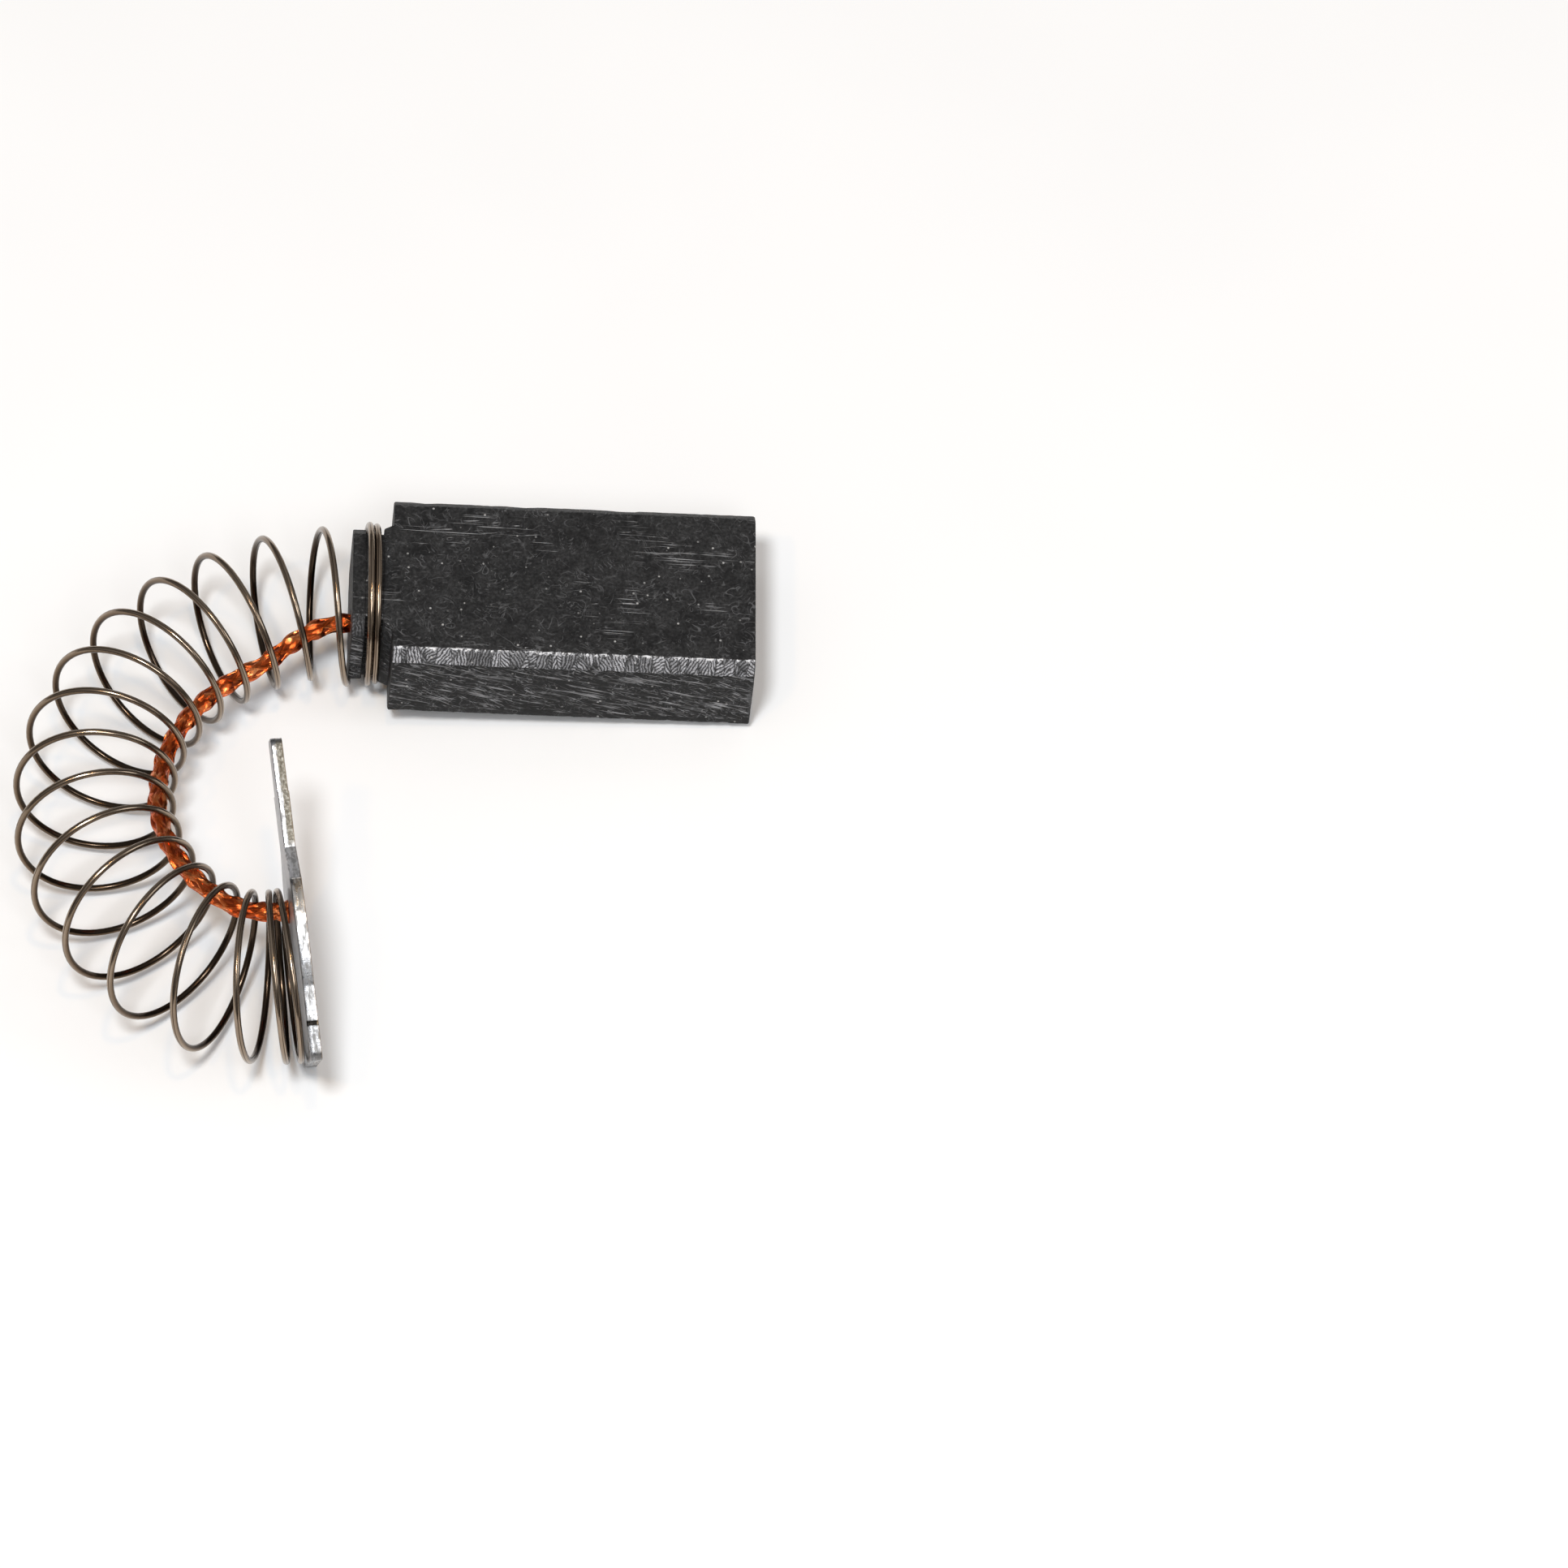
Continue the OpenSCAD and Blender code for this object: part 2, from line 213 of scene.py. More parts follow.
def braid_path(n):
    """Centreline and half width of the braid, from inside the bore to the plate."""
    top = plate_at - foot_gap
    s = np.linspace(braid_from, top, n)
    inside = (
        (coil_r_start + (coil_r_end - coil_r_start) * s / spring_len) * step_cut
        - wire_r
        - braid_gap
        - braid_half(s)
    )
    off = bore_offset + (inside - bore_offset) * smooth((s - braid_from) / braid_swing)
    climb = braid_climb * RAD * smooth((s - climb_from) / climb_over)
    p = (
        centre(s)
        - (off * np.cos(climb))[:, None] * outer_side(s)
        + (off * np.sin(climb))[:, None] * upper_side(s)
    )
    axis = np.array([math.cos(rest_pitch), 0, -math.sin(rest_pitch)])
    mouth = -head_end * axis - np.array([0, bore_offset, 0])
    steps = np.linspace(bore_view, mouth_gap, mouth_points)[:, None]
    return np.concatenate([mouth + steps * axis, p]), np.concatenate(
        [np.full(mouth_points, braid_d / 2), braid_half(s)]
    )


# ------------------------------------------------------------- mesh helpers
def new_mesh(name, verts_mm, faces, smooth_shade=True):
    mesh = bpy.data.meshes.new(name)
    mesh.from_pydata((np.asarray(verts_mm) * MM).tolist(), [], faces)
    mesh.validate()
    obj = bpy.data.objects.new(name, mesh)
    bpy.context.scene.collection.objects.link(obj)
    if smooth_shade:
        mesh.polygons.foreach_set("use_smooth", [True] * len(mesh.polygons))
    mesh.update()
    return obj


def add_uv(obj, uv):
    """One (u, v) pair for each vertex."""
    layer = obj.data.uv_layers.new(name="UVMap")
    loops = np.empty(len(obj.data.loops), int)
    obj.data.loops.foreach_get("vertex_index", loops)
    layer.data.foreach_set("uv", np.asarray(uv, float)[loops].ravel())


def run_length(p):
    """Distance along a line of points, from its first one."""
    return np.concatenate([[0], np.cumsum(np.linalg.norm(np.diff(p, axis=0), axis=1))])


def path_frames(p, first):
    """Side and up directions carried along a path without twist."""
    tangent = unit(np.gradient(p, axis=0))
    side = np.empty_like(p)
    v = np.asarray(first, float)
    for i, t in enumerate(tangent):
        v = v - t * v.dot(t)
        v = v / np.linalg.norm(v)
        side[i] = v
    return side, np.cross(tangent, side)


def band(low, high, n):
    """Quads between two rings of n points that start at vertices low and high."""
    return [(low + k, low + (k + 1) % n, high + (k + 1) % n, high + k) for k in range(n)]


def loft(count, n):
    """Quads between the neighbours among count rings of n points."""
    return [quad for i in range(count - 1) for quad in band(i * n, (i + 1) * n, n)]


def sweep(p, radius, sides, side, up):
    """Vertices, faces and (distance, turn) pairs of a closed tube along p."""
    n = len(p)
    a = np.arange(sides) / sides * 2 * math.pi
    radius = np.broadcast_to(radius, (n,))
    ring = np.cos(a)[None, :, None] * side[:, None] + np.sin(a)[None, :, None] * up[:, None]
    verts = (p[:, None] + radius[:, None, None] * ring).reshape(-1, 3)
    faces = loft(n, sides)
    faces.append(tuple(range(sides - 1, -1, -1)))
    faces.append(tuple((n - 1) * sides + k for k in range(sides)))
    turn = a / (2 * math.pi)
    uv = np.stack(np.broadcast_arrays(run_length(p)[:, None], turn[None]), -1).reshape(-1, 2)
    return verts, faces, uv


def join(parts):
    verts, faces, uvs, base = [], [], [], 0
    for v, f, uv in parts:
        verts.append(v)
        faces += [tuple(i + base for i in face) for face in f]
        uvs.append(uv)
        base += len(v)
    return np.concatenate(verts), faces, np.concatenate(uvs)


def lattice_noise(p, scale, seed):
    """Smooth noise from about -1 to 1 at points p (mm), from a few crossed waves."""
    waves, gain = 14, 2.2
    r = np.random.default_rng(seed)
    out = np.zeros(len(p))
    for _ in range(waves):
        k = r.normal(size=3)
        k = k / np.linalg.norm(k) * scale * r.uniform(0.6, 1.7)
        out += np.sin(p @ k + r.uniform(0, 2 * math.pi))
    return out / waves * gain


# ---------------------------------------------------------------- materials
class Tree:
    """Nodes of a material or a world, up to its last shader. Each method adds
    nodes and gives the socket that carries their result."""

    def __init__(self, owner, last="Principled BSDF"):
        self.owner = owner
        owner.use_nodes = True
        self.nodes, self.links = owner.node_tree.nodes, owner.node_tree.links
        self.shader = self.nodes[last]

    def put(self, target, value):
        """Links a socket, and sets any other value."""
        if hasattr(value, "is_linked"):
            self.links.new(value, target)
        else:
            target.default_value = (*value, 1) if target.type == "RGBA" else value

    def add(self, kind, **inputs):
        node = self.nodes.new("ShaderNode" + kind)
        for name, value in inputs.items():
            self.put(node.inputs[name.replace("_", " ")], value)
        return node

    def finish(self, **inputs):
        """Feeds the last shader."""
        for name, value in inputs.items():
            self.put(self.shader.inputs[name.replace("_", " ")], value)
        return self.owner

    def coords(self, scale=(1, 1, 1), turn=(0, 0, 0), kind="Object"):
        """Coordinates in millimetres, or of the UV map."""
        per = 1000 if kind == "Object" else 1
        return self.add("Mapping", Vector=self.add("TexCoord").outputs[kind], Rotation=turn,
                        Scale=tuple(per * v for v in scale)).outputs["Vector"]

    def remap(self, vector, scale=(1, 1, 1), turn=(0, 0, 0), shift=(0, 0, 0)):
        """Turns coordinates about the origin, then stretches them."""
        turned_by = self.add("Mapping", Vector=vector, Rotation=turn, Location=shift)
        return self.add("Mapping", Vector=turned_by.outputs["Vector"],
                        Scale=scale).outputs["Vector"]

    def xyz(self, vector):
        return self.add("SeparateXYZ", Vector=vector).outputs

    def rgb(self, colour):
        return self.add("SeparateColor", Color=colour).outputs

    def attribute(self, name):
        node = self.add("Attribute")
        node.attribute_name = name
        return node.outputs["Fac"]

    def noise(self, vector, scale, detail=4, rough=0.6, distort=0.0):
        return self.add("TexNoise", Vector=vector, Scale=scale, Detail=detail, Roughness=rough,
                        Distortion=distort).outputs["Fac"]

    def voronoi(self, vector, scale, feature="F1"):
        node = self.add("TexVoronoi", Vector=vector, Scale=scale)
        node.feature = feature
        return node.outputs

    def ramp(self, fac, stops):
        """Stops are (position, colour) or (position, grey)."""
        node = self.add("ValToRGB", Fac=fac)
        elements = node.color_ramp.elements
        while len(elements) < len(stops):
            elements.new(0.5)
        for element, (position, colour) in zip(elements, stops):
            element.position = position
            element.color = (*(colour if isinstance(colour, tuple) else (colour,) * 3), 1)
        return node.outputs["Color"]

    def fade(self, fac, low, high, start=0.0, end=1.0):
        """Goes from start to end while fac goes from low to high."""
        return self.ramp(fac, [(low, start), (high, end)])

    def mix(self, fac, a, b, mode="MIX"):
        node = self.add("Mix")
        node.data_type, node.blend_type = "RGBA", mode
        for name, value in (("Factor", fac), ("A", a), ("B", b)):
            self.put([s for s in node.inputs if s.name == name and s.enabled][0], value)
        return [s for s in node.outputs if s.enabled][0]

    def maths(self, op, *values):
        node = self.add("Math")
        node.operation = op
        for target, value in zip(node.inputs, values):
            self.put(target, value)
        return node.outputs[0]

    def times(self, first, *others):
        for value in others:
            first = self.maths("MULTIPLY", first, value)
        return first

    def plus(self, a, b):
        return self.maths("ADD", a, b)

    def minus(self, a, b):
        return self.maths("SUBTRACT", a, b)

    def larger(self, a, b):
        return self.maths("MAXIMUM", a, b)

    def absolute(self, a):
        return self.maths("ABSOLUTE", a)

    def bump(self, height, strength, distance):
        """Distance is the full height, in metres."""
        return self.add("Bump", Height=height, Strength=strength,
                        Distance=distance).outputs["Normal"]

    def strokes(self, vector, scale, turn, shift, low, high):
        """Fine scratches: streaks of a stretched noise that pass a threshold."""
        streaks = self.noise(self.remap(vector, scale, turn, shift), 1.0, 2, 0.5, 0.3)
        return self.ramp(streaks, [(0.0, 0.0), (low, 0.0), (high, 1.0)])

    def curls(self, vector, scale, width, patch):
        """Hair-thin curled scratches: broken level lines of a swirled noise, in
        patches. The width is a share of the distance between two lines."""
        levels, gap_scale = 5.0, 2.3
        swirl = self.noise(vector, scale, 1, 0.5, 1.8)
        between = self.maths("FRACT", self.times(swirl, levels))
        off = self.absolute(self.minus(between, 0.5))
        line = self.ramp(off, [(0.0, 1.0), (width * 0.4, 0.8), (width, 0.0)])
        gaps = self.fade(self.noise(vector, scale * gap_scale, 2, 0.5), 0.45, 0.54)
        return self.times(line, gaps, patch)

    def round_section(self, towards):
        """1 on the side of a wire that faces the given share of a turn, 0 opposite."""
        around = self.xyz(self.add("TexCoord").outputs["UV"])["Y"]
        wave = self.maths("COSINE", self.times(self.minus(around, towards), 2 * math.pi))
        return self.times(self.plus(wave, 1.0), 0.5)


def material(name):
    return Tree(bpy.data.materials.new(name))


def graphite():
    m = material("graphite")
    block = m.coords(turn=(0, -rest_pitch, 0))
    place = m.xyz(block)
    normal = m.xyz(m.add("NewGeometry").outputs["True Normal"])
    level = m.absolute(normal["Z"])
    upright = m.absolute(normal["Y"])
    on_top = m.fade(level, 0.85, 0.95)
    on_side = m.fade(upright, 0.85, 0.95)

    grain = m.noise(block, 6.0, 8, 0.72)
    cloud = m.noise(block, 0.9, 6, 0.68, 0.5)
    patch_a = m.fade(m.noise(block, 0.62, 4, 0.6, 0.4), 0.40, 0.62, 0.15)
    patch_b = m.fade(m.noise(m.remap(block, shift=(7, 3, 5)), 0.8, 4, 0.6, 0.4), 0.42, 0.6)
    hair = m.larger(m.curls(block, 0.6, 0.095, patch_a),
                    m.curls(m.remap(block, shift=(11, 5, 2)), 1.1, 0.12, patch_b))
    # bright grains, in a share of the cells
    cells = m.voronoi(block, 1.8)
    chosen = m.rgb(cells["Color"])["Red"]
    specks = m.ramp(cells["Distance"], [(0.0, 1.0), (0.08, 0.9), (0.13, 0.0)])
    specks = m.times(specks, m.fade(chosen, 0.35, 0.8))
    # marks of the holder, along the block on top and slanting on the sides
    few = m.fade(m.noise(m.remap(block, shift=(2, 9, 4)), 0.30, 3, 0.6), 0.55, 0.64)
    slide = m.larger(
        m.strokes(block, (0.20, 14, 14), (0, 0, 0.03), (3, 1, 0), 0.62, 0.66),
        m.strokes(block, (0.8, 13, 13), (0, 0, -0.10), (1, 8, 0), 0.67, 0.72))
    slide = m.times(slide, few, on_top)
    slant_a = m.strokes(block, (0.42, 5, 6.5), (0, -0.25, 0), (0, 4, 2), 0.57, 0.62)
    slant_b = m.strokes(block, (0.8, 5, 8.5), (0, -0.55, 0), (9, 1, 4), 0.61, 0.66)
    slant = m.larger(m.times(slant_a, patch_a), m.times(slant_b, patch_b))
    loops = m.curls(m.remap(block, (0.5, 2, 2.2), (0, -0.32, 0), (5, 2, 1)), 0.9, 0.08, 1.0)
    slant = m.times(m.larger(slant, m.times(loops, 0.6)), on_side)
    # fewer marks at the foot of each side, which leaves a painted shade along the bottom, and on
    # the side that faces +Y
    foot_band = 0.5
    below = m.minus(m.times(place["Z"], -1.0), block_t / 2 - block_chamfer - foot_band)
    slant = m.times(slant, m.fade(below, 0.0, 0.15, 1.0, 0.1))
    slant = m.times(slant, m.fade(m.times(normal["Y"], -1.0), 0.0, 0.3, 0.4))

    # chamfers: where the surface faces between the two flats; down is 0 at the
    # edge with the wide face and 1 at the edge with the side
    cross_facing = m.times(level, upright)
    chamfer = m.fade(cross_facing, 0.22, 0.34)
    down = m.minus(block_t / 2, m.absolute(place["Z"]))
    down = m.maths("DIVIDE", down, block_chamfer)
    # scraped in short strokes, each patch with ridges of its own direction, and painted bright as
    # the highlight of the lit chamfer
    scrape = m.noise(block, 7.0, 6, 0.75, 0.8)
    swirl = m.add("TexNoise", Vector=block, Scale=1.6, Detail=3).outputs["Color"]
    broken = m.mix(0.22, block, swirl, "ADD")
    patch_size, most_turn, chamfer_normal = (1.7, 0.45, 0.45), 2.2, (0, -0.7071, 0.7071)
    patches = m.voronoi(m.remap(broken, patch_size), 1.0)
    edges = m.voronoi(m.remap(broken, patch_size), 1.0, "DISTANCE_TO_EDGE")
    each = m.rgb(patches["Color"])
    spin = m.add("VectorRotate", Vector=block, Axis=chamfer_normal,
                 Angle=m.times(m.minus(each["Red"], 0.5), most_turn))
    ridges = m.add("TexWave", Vector=spin.outputs["Vector"], Scale=2.0, Distortion=7.0,
                   Detail=3.0, Detail_Scale=1.2, Detail_Roughness=0.65)
    ridge = m.times(m.fade(ridges.outputs["Fac"], 0.25, 0.7, 0.08),
                    m.fade(scrape, 0.36, 0.58, 0.25),
                    m.fade(each["Green"], 0.0, 0.6, 0.30),
                    m.fade(edges["Distance"], 0.0, 0.09, 0.1))
    # painted highlight: glinting dots along the edge of the chamfer
    painted_lip_glints = m.plus(down, m.times(m.minus(scrape, 0.5), 0.9))
    painted_lip_glints = m.fade(painted_lip_glints, 0.05, 0.16, 1.0, 0.0)
    painted_lip_glints = m.times(painted_lip_glints, m.fade(m.noise(block, 4.5, 2, 0.5), 0.49, 0.56))
    scrape_and_highlight = m.times(ridge, chamfer)
    painted_lip_glints = m.times(painted_lip_glints, m.fade(cross_facing, 0.06, 0.2))
    # scrape marks and painted highlight only on the side that faces -Y, towards the lamps
    scraped_and_lit = m.fade(m.times(normal["Y"], -1.0), 0.0, 0.3, 0.04)
    scrape_and_highlight, painted_lip_glints = m.times(scrape_and_highlight, scraped_and_lit), m.times(painted_lip_glints, scraped_and_lit)
    # scrape marks and painted highlight only faint on the head and the boss
    bar_band = 0.9
    beyond = m.minus(m.absolute(place["Y"]), block_w / 2 - block_chamfer - bar_band)
    on_bar = m.fade(beyond, 0.0, 0.5, 0.22)
    scrape_and_highlight, painted_lip_glints = m.times(scrape_and_highlight, on_bar), m.times(painted_lip_glints, on_bar)

    base = m.ramp(grain, [(0.34, (0.012, 0.012, 0.0122)), (0.5, (0.027, 0.027, 0.0273)),
                          (0.66, (0.049, 0.049, 0.050))])
    for share, colour in (
        (m.fade(cloud, 0.35, 0.58, 0.7, 0.0), (0.007, 0.007, 0.0073)),
        (m.times(on_side, 0.72), (0.0035, 0.0035, 0.0037)),
        (m.times(hair, 0.55), (0.16, 0.16, 0.165)),
        (m.times(specks, 0.8), (0.50, 0.49, 0.48)),
        (m.times(slide, 0.75), (0.40, 0.40, 0.41)),
        (m.times(slant, 0.75), (0.36, 0.36, 0.37)),
        # painted highlight on the scrape marks of the lit chamfer
        (scrape_and_highlight, (0.52, 0.52, 0.55)),
        # painted highlight: glints along the edge of the chamfer
        (painted_lip_glints, (0.78, 0.78, 0.80)),
    ):
        base = m.mix(share, base, colour)
    rough = m.mix(scrape_and_highlight, m.fade(cloud, 0.3, 0.7, 0.46, 0.62), (0.34, 0.34, 0.34))
    relief = grain
    for marks, depth in ((slide, -0.5), (slant, 0.35), (hair, 0.4), (scrape_and_highlight, 1.1)):
        relief = m.plus(relief, m.times(marks, depth))
    # a low specular level keeps the floor's white out of the dark faces
    return m.finish(Base_Color=base, Roughness=rough, Specular_IOR_Level=0.14,
                    Normal=m.bump(relief, 0.55, 0.00003))


def spring_steel():
    m = material("spring_steel")
    lines = m.noise(m.coords((0.25, 14, 1), kind="UV"), 2.0, 4, 0.6)
    tint = m.noise(m.coords((0.5, 0.8, 1), kind="UV"), 0.5, 5, 0.62)
    # painted shade on the inside of the turns, and painted reflected light on the outside
    colour = m.ramp(m.round_section(0.0), [
        (0.10, (0.045, 0.031, 0.021)), (0.40, (0.115, 0.077, 0.048)),
        (0.66, (0.225, 0.162, 0.110)), (0.95, (0.41, 0.325, 0.245)),
    ])
    colour = m.mix(m.fade(tint, 0.35, 0.62, 0.45, 0.0), colour, (0.115, 0.078, 0.052))
    colour = m.mix(m.times(lines, 0.35), colour, (0.05, 0.038, 0.030))
    return m.finish(Base_Color=colour, Metallic=1.0, Roughness=m.fade(lines, 0.3, 0.7, 0.14, 0.24),
                    Normal=m.bump(lines, 0.25, 0.000008))


def copper(name, dark, mid, light, rough):
    m = material(name)
    patches = m.noise(m.coords(), 1.3, 5, 0.6)
    fine = m.noise(m.coords((0.4, 8, 1), kind="UV"), 3.0, 4, 0.6)
    colour = m.ramp(patches, [(0.32, dark), (0.5, mid), (0.68, light)])
    colour = m.mix(m.times(fine, 0.3), colour, dark)
    return m.finish(Coat_Weight=0.10, Coat_Roughness=0.15, Base_Color=colour, Metallic=1.0,
                    Roughness=m.fade(fine, 0.3, 0.7, *rough), Normal=m.bump(fine, 0.3, 0.00001))


def tamping():
    m = material("tamping_compound")
    grain = m.noise(m.coords(), 9, 6, 0.7)
    colour = m.ramp(grain, [(0.35, (0.05, 0.035, 0.03)), (0.6, (0.17, 0.09, 0.055)),
                            (0.75, (0.45, 0.22, 0.12))])
    return m.finish(Base_Color=colour, Roughness=0.6, Metallic=0.4,
                    Normal=m.bump(grain, 0.7, 0.00004))


def tinned_edge():
    """The punched edge: V runs from the sheared face to the torn face."""
    m = material("tinned_edge")
    across = m.xyz(m.add("TexCoord").outputs["UV"])["Y"]
    share = m.attribute("torn")
    wander = m.noise(m.coords((1.6, 0, 1), kind="UV"), 1.5, 5, 0.65)
    edge = m.plus(across, m.times(m.minus(wander, 0.5), 0.35))
    torn = m.times(m.fade(edge, 0.40, 0.47), share)
    pits = m.noise(m.coords((5, 3.2, 1), kind="UV"), 1.2, 6, 0.75)
    torn_metal = m.ramp(pits, [(0.36, (0.10, 0.085, 0.065)), (0.50, (0.26, 0.24, 0.20)),
                               (0.62, (0.50, 0.48, 0.43))])
    cloud = m.noise(m.coords((0.6, 0.8, 1), kind="UV"), 1.2, 5, 0.6, 0.3)
    sheared = m.ramp(cloud, [(0.3, (0.36, 0.365, 0.38)), (0.6, (0.52, 0.525, 0.54))])
    # tinning tone and painted highlight and shade along the edge, plain at 0.5
    tin_and_painted_light = m.attribute("tin_and_painted_light")
    sheared = m.mix(1.0, sheared, m.fade(tin_and_painted_light, 0.0, 1.0), "MULTIPLY")
    sheared = m.mix(1.0, sheared, (2.0, 2.0, 2.0), "MULTIPLY")
    # smudges, duller and rougher
    smudge = m.noise(m.coords((1.0, 1.6, 1), kind="UV"), 1.6, 5, 0.65, 0.4)
    smudge = m.fade(smudge, 0.46, 0.58)
    sheared = m.mix(m.times(smudge, 0.6), sheared, (0.17, 0.165, 0.16))
    colour = m.mix(torn, sheared, torn_metal)
    # painted shade: the nicks nearly black
    colour = m.mix(m.attribute("nick_shade"), colour, (0.008, 0.007, 0.006))
    burr = m.fade(edge, 0.86, 0.97)
    colour = m.mix(m.times(burr, 0.55), colour, (0.22, 0.16, 0.10))
    lines = m.noise(m.coords((9, 0.5, 1), kind="UV"), 2.0, 3, 0.6)
    relief = m.plus(m.times(torn, pits), m.times(lines, 0.10))
    rough = m.mix(smudge, m.fade(tin_and_painted_light, 0.5, 0.9, 0.22, 0.45), (0.58, 0.58, 0.58))
    rough = m.mix(torn, rough, (0.5, 0.5, 0.5))
    return m.finish(Base_Color=colour, Roughness=rough, Metallic=1.0,
                    Normal=m.bump(relief, 0.7, 0.00006))


def tinned_sheet():
    m = material("tinned_sheet")
    where = m.coords()
    cloud = m.noise(where, 0.8, 5, 0.6, 0.4)
    fine = m.noise(where, 9, 5, 0.65)
    rolled = m.noise(m.coords((0.5, 6, 6)), 1.5, 5, 0.6)
    colour = m.ramp(cloud, [(0.3, (0.33, 0.335, 0.35)), (0.7, (0.50, 0.505, 0.52))])
    colour = m.mix(m.times(rolled, 0.35), colour, (0.24, 0.23, 0.22))
    relief = m.plus(rolled, m.times(fine, 0.4))
    return m.finish(Base_Color=colour, Roughness=m.fade(rolled, 0.3, 0.7, 0.26, 0.42),
                    Metallic=1.0, Normal=m.bump(relief, 0.3, 0.00002))


# --------------------------------------------------------- the graphite block
CHIP_REACH = 0.12           # how far the chips reach from an edge, mm
SHARP = 50 * RAD            # edges sharper than this stay hard on the graphite


def outline(half_w, half_t, c, rounding, cells):
    """Points of a chamfered rectangle (y, z), with rounded corners, the same
    number of points for every size, and how near each is to a corner."""
    corners = [
        (half_w - c, half_t), (half_w, half_t - c), (half_w, c - half_t), (half_w - c, -half_t),
        (c - half_w, -half_t), (-half_w, c - half_t), (-half_w, half_t - c), (c - half_w, half_t),
    ]
    most = 0.4              # a rounding takes no more than this share of a side
    points, near = [], []
    for k in range(8):
        a, b = np.array(corners[k]), np.array(corners[(k + 1) % 8])
        before = np.array(corners[k - 1])
        d0, d1 = unit(a - before), unit(b - a)
        length = np.linalg.norm(b - a)
        r = min(rounding, most * length, most * np.linalg.norm(a - before))
        start, stop = a - d0 * r, a + d1 * r
        for u in (0.0, 0.33, 0.67, 1.0):
            points.append((1 - u) ** 2 * start + 2 * u * (1 - u) * a + u ** 2 * stop)
            near.append(1.0)
        end = b - d1 * min(rounding, most * length)
        n = cells[k % 4]
        for j in range(1, n):
            p = stop + (end - stop) * (j / n)
            points.append(p)
            d = min(np.linalg.norm(p - stop), np.linalg.norm(p - end))
            near.append(math.exp(-d / CHIP_REACH))
    return np.array(points), np.array(near)


def ring_at(x, section, shrink=0.0):
    half_w, half_t, c, rounding, cells = section
    pts, near = outline(half_w - shrink, half_t - shrink, c, rounding, cells)
    return np.column_stack([np.full(len(pts), x), pts]), near


def to_lying(p):
    """From the block's own axes to the lying pose."""
    c, s = math.cos(rest_pitch), math.sin(rest_pitch)
    out = np.array(p, float)
    out[:, 0], out[:, 2] = c * p[:, 0] + s * p[:, 2], c * p[:, 2] - s * p[:, 0]
    return out


def chipped(body, near, low, high, seed, depth):
    """Moves points near an edge towards the block's axis, between x = low and
    x = high, where the edge is chipped."""
    broad = np.clip(lattice_noise(body, 2.2, seed) - 0.35, 0, 1)
    small = np.clip(lattice_noise(body, 7.5, seed + 1) - 0.45, 0, 1)
    fine = np.abs(lattice_noise(body, 16.0, seed + 2))
    inwards = near * ((broad * 0.8 + small * 0.7) * depth + 0.012 * fine)
    zero = np.zeros(len(body))
    axis = np.column_stack([np.clip(body[:, 0], low, high), zero, zero])
    return body - unit(body - axis) * inwards[:, None]


def block_piece():
    edge_round, end_round, fade_w, flat_band, length_steps = 0.07, 0.09, 0.25, 0.15, 92
    section = (block_w / 2, block_t / 2, block_chamfer, edge_round, (5, 22, 5, 44))
    quarter = np.linspace(0, math.pi / 2, 5)
    steps = [end_round * (1 - math.cos(a)) for a in quarter]
    ends = [end_round * (1 - math.sin(a)) for a in quarter]
    stations = [(-d, e) for d, e in zip(steps, ends)]
    stations += [(-x, 0.0)
                 for x in np.linspace(end_round * 2, block_l - end_round * 2, length_steps)]
    stations += [(-block_l + d, e) for d, e in zip(steps[::-1], ends[::-1])]
    rings, nears = [], []
    for x, shrink in stations:
        ring, near = ring_at(x, section, shrink)
        end_near = np.full(len(ring), math.exp(-min(-x, block_l + x) / CHIP_REACH))
        if x < -block_l / 2:
            # the flats run on into the boss without a step
            beside = smooth((np.abs(ring[:, 1]) - boss_root_w / 2) / fade_w)
            flat = np.abs(ring[:, 2]) > block_t / 2 - flat_band
            ring[flat, 2] += (np.sign(ring[:, 2]) * shrink * (1 - beside))[flat]
            end_near = np.where(flat, end_near * beside, end_near)
        rings.append(ring)
        nears.append(np.maximum(near, end_near))
    n = len(rings[0])
    body = chipped(np.concatenate(rings), np.concatenate(nears),
                   low=1 - block_l, high=-1, seed=11, depth=0.09)
    faces = loft(len(rings), n)
    # flat ends: rings that draw in to the middle
    for index, far_end in ((0, False), (len(rings) - 1, True)):
        before = index * n
        edge = body[before:before + n]
        for share in (0.97, 0.85, 0.6, 0.3, 0.02):
            base = len(body)
            ring = edge * share
            ring[:, 0] = rings[index][0, 0]
            body = np.concatenate([body, ring])
            faces += [quad if far_end else quad[::-1] for quad in band(before, base, n)]
            before = base
        middle = tuple(range(before, before + n))
        faces.append(middle if far_end else middle[::-1])
    obj = new_mesh("graphite_bar", to_lying(body), faces)
    obj.data.set_sharp_from_angle(angle=SHARP)
    return obj


